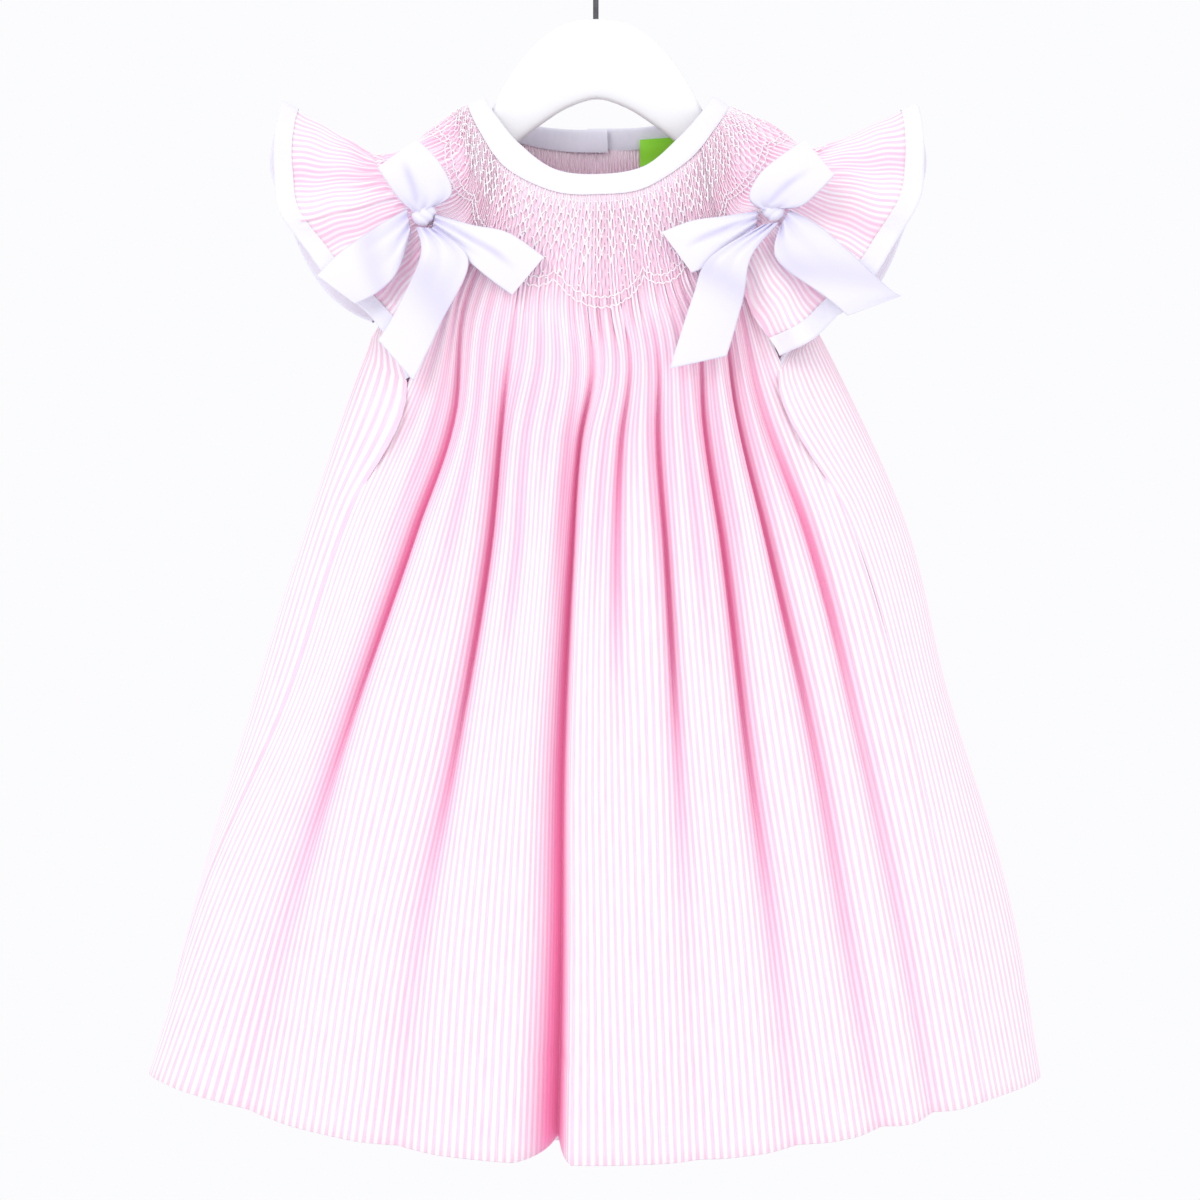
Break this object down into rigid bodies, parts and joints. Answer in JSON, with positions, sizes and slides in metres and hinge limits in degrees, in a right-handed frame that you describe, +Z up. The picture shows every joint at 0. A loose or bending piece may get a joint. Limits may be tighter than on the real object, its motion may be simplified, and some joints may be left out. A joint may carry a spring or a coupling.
{
  "type": "smocked dress on a hanger",
  "caption": "Toddler's smocked bishop dress with ruffle sleeves and ribbon bows, hung flat on a contoured hanger with a wire hook.",
  "frame": {"origin": "inside the top of the hanger's hook, where the hook rests on a rail or peg", "axes": "+Z up, the front of the dress faces -Y, +X to the right as seen from the front"},
  "size_m": [0.3833, 0.094, 0.5564],
  "materials": {
    "striped_cotton": "matt woven cotton, pale pink and white stripes down the length",
    "white_bias": "matt white woven trim",
    "white_satin": "white satin ribbon with a soft sheen",
    "green_label": "plain woven label",
    "white_wood": "painted white, satin",
    "dark_wire": "dark plated wire",
    "pearl_button": "plain white button"
  },
  "bodies": {
    "root": {"dress_front": "striped_cotton", "back_left": "striped_cotton", "back_right": "striped_cotton", "back_placket": "striped_cotton", "sleeve_left": "striped_cotton", "sleeve_right": "striped_cotton", "sleeve_ribbon_left": "white_bias", "sleeve_ribbon_right": "white_bias", "neck_binding": "white_bias", "armhole_binding_left": "white_bias", "armhole_binding_right": "white_bias", "neck_label": "green_label", "hanger": "white_wood", "hanger_hook": "dark_wire", "button_1": "pearl_button", "button_2": "pearl_button", "button_3": "pearl_button", "bow_left_knot": "white_satin", "bow_left_loop_upper": "white_satin", "bow_left_loop_inner": "white_satin", "bow_left_tail_outer": "white_satin", "bow_left_tail_down": "white_satin", "bow_right_knot": "white_satin", "bow_right_loop_upper": "white_satin", "bow_right_loop_inner": "white_satin", "bow_right_tail_outer": "white_satin", "bow_right_tail_down": "white_satin"}
  },
  "joints": []
}
